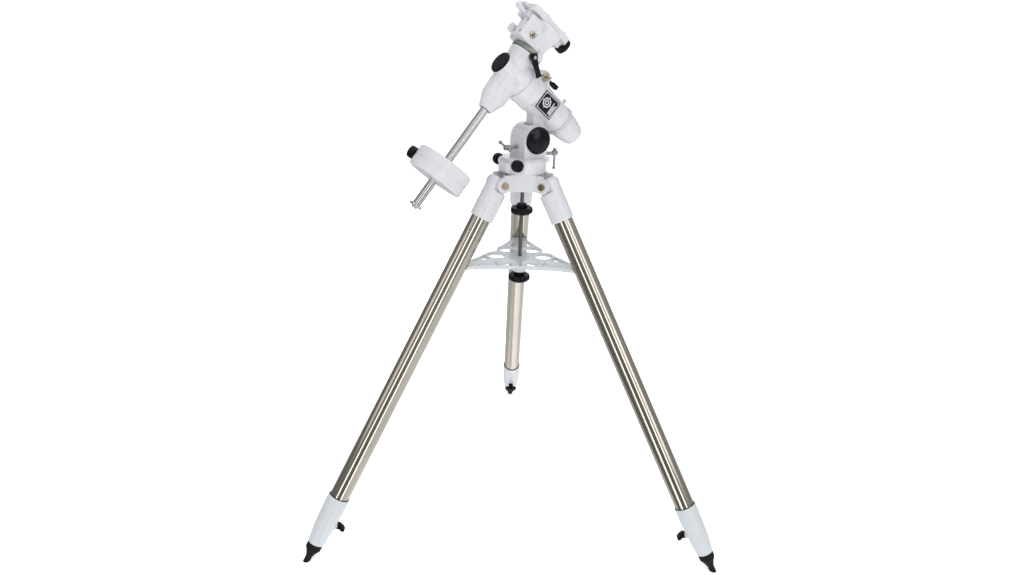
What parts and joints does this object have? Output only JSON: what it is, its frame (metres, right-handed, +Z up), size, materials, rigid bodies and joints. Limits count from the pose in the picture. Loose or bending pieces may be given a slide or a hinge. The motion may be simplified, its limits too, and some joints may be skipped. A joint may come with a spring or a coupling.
{
  "type": "equatorial telescope mount on tripod",
  "caption": "German equatorial telescope mount with counterweight and dovetail saddle, on a folding stainless steel tripod with an accessory tray.",
  "frame": {"origin": "on the floor under the azimuth axis, in the plane of the three feet", "axes": "+Z up, +Y towards the pole (north, the way the right ascension axis points up), +X east; the axes are at latitude 40 degrees"},
  "size_m": [0.9646, 0.8384, 1.2311],
  "materials": {
    "aluminium": "satin anodised",
    "black_gloss": "gloss",
    "black_plastic": "satin",
    "brass": "turned",
    "chrome": "polished",
    "gunmetal": "blackened",
    "rubber": "matt",
    "stainless": "drawn and polished",
    "steel": "zinc plated",
    "weight_paint": "gloss white enamel on cast iron",
    "white_paint": "gloss white enamel on cast aluminium"
  },
  "bodies": {
    "tripod_head": {"tripod_head": "white_paint", "azimuth_peg": "steel", "leg_hinge_bolts": "brass"},
    "leg_north": {"upper_casting_north": "white_paint", "leg_tube_north": "stainless", "lower_casting_north": "white_paint"},
    "extension_north": {"inner_leg_north": "stainless", "foot_north": "rubber"},
    "lock_north": {"leg_lock_north": "black_plastic"},
    "leg_southwest": {"upper_casting_southwest": "white_paint", "leg_tube_southwest": "stainless", "lower_casting_southwest": "white_paint"},
    "extension_southwest": {"inner_leg_southwest": "stainless", "foot_southwest": "rubber"},
    "lock_southwest": {"leg_lock_southwest": "black_plastic"},
    "leg_southeast": {"upper_casting_southeast": "white_paint", "leg_tube_southeast": "stainless", "lower_casting_southeast": "white_paint"},
    "extension_southeast": {"inner_leg_southeast": "stainless", "foot_southeast": "rubber"},
    "lock_southeast": {"leg_lock_southeast": "black_plastic"},
    "draw_rod": {"center_rod": "steel", "mount_lock_knob": "black_plastic"},
    "accessory_tray": {"accessory_tray": "white_paint"},
    "tray_knob": {"tray_knob": "black_plastic"},
    "azimuth_base": {"azimuth_base": "white_paint", "altitude_pivot": "steel"},
    "azimuth_knob_west": {"azimuth_knob_west": "black_plastic"},
    "azimuth_knob_east": {"azimuth_knob_east": "black_plastic"},
    "ra_housing": {"ra_housing": "white_paint", "ra_bearings": "steel", "name_plate": "black_gloss"},
    "altitude_screw_south": {"altitude_screw_south": "gunmetal"},
    "altitude_bar_south": {"altitude_bar_south": "gunmetal"},
    "altitude_screw_north": {"altitude_screw_north": "gunmetal"},
    "altitude_bar_north": {"altitude_bar_north": "gunmetal"},
    "altitude_cap": {"altitude_cap": "black_gloss"},
    "ra_worm": {"ra_worm": "steel"},
    "ra_setting_circle": {"ra_setting_circle": "aluminium"},
    "circle_lock_screw": {"circle_lock_screw": "steel"},
    "ra_clutch_lever": {"ra_clutch_lever": "black_plastic"},
    "ra_end_cap": {"ra_end_cap": "white_paint"},
    "dec_housing": {"dec_housing": "white_paint", "ra_shaft": "steel", "ra_worm_wheel": "brass", "dec_bearings": "steel", "dec_worm_wheel": "brass"},
    "dec_head": {"dec_head": "white_paint", "dec_shaft": "steel", "saddle": "white_paint", "counterweight_shaft": "chrome"},
    "dec_worm": {"dec_worm": "steel"},
    "dec_setting_circle": {"dec_setting_circle": "aluminium"},
    "dec_clutch_lever": {"dec_clutch_lever": "black_plastic"},
    "polar_cap": {"polar_cap": "black_plastic"},
    "saddle_jaw": {"saddle_jaw": "white_paint"},
    "saddle_knob": {"saddle_knob": "black_plastic"},
    "counterweight": {"counterweight": "weight_paint"},
    "counterweight_knob": {"counterweight_knob": "black_plastic"},
    "shaft_end_screw": {"shaft_end_screw": "chrome"}
  },
  "joints": [
    {"name": "leg_fold_north", "type": "hinge", "parent": "tripod_head", "child": "leg_north", "pos_m": [0, 0.063, 0.849], "axis": [-1, 0, 0], "range_deg": [0, 20]},
    {"name": "leg_extend_north", "type": "slide", "parent": "leg_north", "child": "extension_north", "axis": [0, 0.4955, -0.8686], "range_m": [0, 0.34]},
    {"name": "leg_lock_turn_north", "type": "hinge", "parent": "leg_north", "child": "lock_north", "pos_m": [0, 0.46426, 0.06479], "axis": [0, -0.8686, -0.4955], "range_deg": [0, 180]},
    {"name": "leg_fold_southwest", "type": "hinge", "parent": "tripod_head", "child": "leg_southwest", "pos_m": [-0.05456, -0.0315, 0.849], "axis": [0.5, -0.866, 0], "range_deg": [0, 20]},
    {"name": "leg_extend_southwest", "type": "slide", "parent": "leg_southwest", "child": "extension_southwest", "axis": [-0.4291, -0.2477, -0.8686], "range_m": [0, 0.34]},
    {"name": "leg_lock_turn_southwest", "type": "hinge", "parent": "leg_southwest", "child": "lock_southwest", "pos_m": [-0.40206, -0.23213, 0.06479], "axis": [0.7523, 0.4343, -0.4955], "range_deg": [0, 180]},
    {"name": "leg_fold_southeast", "type": "hinge", "parent": "tripod_head", "child": "leg_southeast", "pos_m": [0.05456, -0.0315, 0.849], "axis": [0.5, 0.866, 0], "range_deg": [0, 20]},
    {"name": "leg_extend_southeast", "type": "slide", "parent": "leg_southeast", "child": "extension_southeast", "axis": [0.4291, -0.2477, -0.8686], "range_m": [0, 0.34]},
    {"name": "leg_lock_turn_southeast", "type": "hinge", "parent": "leg_southeast", "child": "lock_southeast", "pos_m": [0.40206, -0.23213, 0.06479], "axis": [-0.7523, 0.4343, -0.4955], "range_deg": [0, 180]},
    {"name": "mount_lock_turn", "type": "hinge", "parent": "tripod_head", "child": "draw_rod", "pos_m": [0, 0, 0.785], "axis": [0, 0, 1], "range_deg": [0, 1080]},
    {"name": "tray_lower", "type": "slide", "parent": "tripod_head", "child": "accessory_tray", "axis": [0, 0, -1], "range_m": [0, 0.427]},
    {"name": "tray_knob_turn", "type": "hinge", "parent": "accessory_tray", "child": "tray_knob", "pos_m": [0, 0, 0.621], "axis": [0, 0, 1], "range_deg": [0, 1080]},
    {"name": "azimuth_turn", "type": "hinge", "parent": "tripod_head", "child": "azimuth_base", "pos_m": [0, 0, 0.873], "axis": [0, 0, 1], "range_deg": [-9, 9]},
    {"name": "azimuth_screw_west", "type": "slide", "parent": "azimuth_base", "child": "azimuth_knob_west", "axis": [1, 0, 0], "range_m": [-0.0066, 0.0066]},
    {"name": "azimuth_screw_east", "type": "slide", "parent": "azimuth_base", "child": "azimuth_knob_east", "axis": [1, 0, 0], "range_m": [-0.0066, 0.0066]},
    {"name": "altitude_tilt", "type": "hinge", "parent": "azimuth_base", "child": "ra_housing", "pos_m": [0, -0.015, 0.945], "axis": [1, 0, 0], "range_deg": [-15, 20]},
    {"name": "altitude_screw_south_run", "type": "slide", "parent": "azimuth_base", "child": "altitude_screw_south", "axis": [0, 1, 0], "range_m": [-0.0102, 0.0136]},
    {"name": "altitude_screw_north_run", "type": "slide", "parent": "azimuth_base", "child": "altitude_screw_north", "axis": [0, 1, 0], "range_m": [-0.0048, 0.0062]},
    {"name": "altitude_bar_south_slide", "type": "slide", "parent": "altitude_screw_south", "child": "altitude_bar_south", "axis": [0, 0, 1], "range_m": [0, 0.009]},
    {"name": "altitude_bar_north_slide", "type": "slide", "parent": "altitude_screw_north", "child": "altitude_bar_north", "axis": [0.9781, 0, 0.2079], "range_m": [-0.02, 0.0055]},
    {"name": "altitude_cap_off", "type": "slide", "parent": "azimuth_base", "child": "altitude_cap", "axis": [-1, 0, 0], "range_m": [0, 0.03]},
    {"name": "ra_axis", "type": "hinge", "parent": "ra_housing", "child": "dec_housing", "pos_m": [0, 0.04, 1.087], "axis": [0, 0.766, 0.6428], "continuous": true},
    {"name": "ra_worm_turn", "type": "hinge", "parent": "ra_housing", "child": "ra_worm", "pos_m": [0, -0.03385, 1.07855], "axis": [1, 0, 0], "continuous": true},
    {"name": "ra_circle_turn", "type": "hinge", "parent": "ra_housing", "child": "ra_setting_circle", "pos_m": [0, -0.08793, 0.97965], "axis": [0, 0.766, 0.6428], "continuous": true},
    {"name": "circle_lock_turn", "type": "hinge", "parent": "ra_housing", "child": "circle_lock_screw", "pos_m": [0, -0.10062, 1.02122], "axis": [0, -0.6428, 0.766], "range_deg": [0, 360]},
    {"name": "ra_clutch_turn", "type": "hinge", "parent": "ra_housing", "child": "ra_clutch_lever", "pos_m": [0.006, -0.05597, 1.06913], "axis": [0, -0.6428, 0.766], "range_deg": [0, 60]},
    {"name": "ra_end_cap_off", "type": "slide", "parent": "ra_housing", "child": "ra_end_cap", "axis": [0, -0.766, -0.6428], "range_m": [0, 0.03]},
    {"name": "dec_axis", "type": "hinge", "parent": "dec_housing", "child": "dec_head", "pos_m": [0, 0.04, 1.087], "axis": [0, -0.6428, 0.766], "continuous": true},
    {"name": "dec_worm_turn", "type": "hinge", "parent": "dec_head", "child": "dec_worm", "pos_m": [0, 0.01144, 1.16616], "axis": [1, 0, 0], "continuous": true},
    {"name": "dec_circle_turn", "type": "hinge", "parent": "dec_housing", "child": "dec_setting_circle", "pos_m": [0, 0.00465, 1.12913], "axis": [0, -0.6428, 0.766], "continuous": true},
    {"name": "dec_clutch_turn", "type": "hinge", "parent": "dec_housing", "child": "dec_clutch_lever", "pos_m": [-0.042, 0.0128, 1.12253], "axis": [-1, 0, 0], "range_deg": [0, 45]},
    {"name": "polar_cap_off", "type": "slide", "parent": "dec_housing", "child": "polar_cap", "axis": [0, 0.766, 0.6428], "range_m": [0, 0.03]},
    {"name": "saddle_jaw_slide", "type": "slide", "parent": "dec_head", "child": "saddle_jaw", "axis": [0, 0.766, 0.6428], "range_m": [-0.0013, 0.0076]},
    {"name": "saddle_knob_turn", "type": "hinge", "parent": "saddle_jaw", "child": "saddle_knob", "pos_m": [0, -0.0872, 1.14214], "axis": [0, 0.766, 0.6428], "range_deg": [-360, 2160]},
    {"name": "counterweight_slide", "type": "slide", "parent": "dec_head", "child": "counterweight", "axis": [0, -0.6428, 0.766], "range_m": [-0.062, 0.135]},
    {"name": "counterweight_knob_turn", "type": "hinge", "parent": "counterweight", "child": "counterweight_knob", "pos_m": [0.05574, 0.2446, 0.92124], "axis": [0.7431, 0.5126, 0.4301], "range_deg": [0, 720]},
    {"name": "end_screw_turn", "type": "hinge", "parent": "dec_head", "child": "shaft_end_screw", "pos_m": [0, 0.26369, 0.82042], "axis": [0, -0.6428, 0.766], "range_deg": [0, 720]}
  ],
  "couplings": [
    {"joint": "leg_fold_southwest", "follows": "leg_fold_north", "ratio": 1},
    {"joint": "leg_fold_southeast", "follows": "leg_fold_north", "ratio": 1},
    {"joint": "tray_lower", "follows": "leg_fold_north", "m_per_rad": 1.22},
    {"joint": "azimuth_screw_west", "follows": "azimuth_turn", "m_per_rad": 0.041},
    {"joint": "azimuth_screw_east", "follows": "azimuth_turn", "m_per_rad": 0.041},
    {"joint": "altitude_screw_south_run", "follows": "altitude_tilt", "m_per_rad": 0.038},
    {"joint": "altitude_screw_north_run", "follows": "altitude_tilt", "m_per_rad": 0.017},
    {"joint": "ra_worm_turn", "follows": "ra_axis", "ratio": 120},
    {"joint": "dec_worm_turn", "follows": "dec_axis", "ratio": 120}
  ]
}
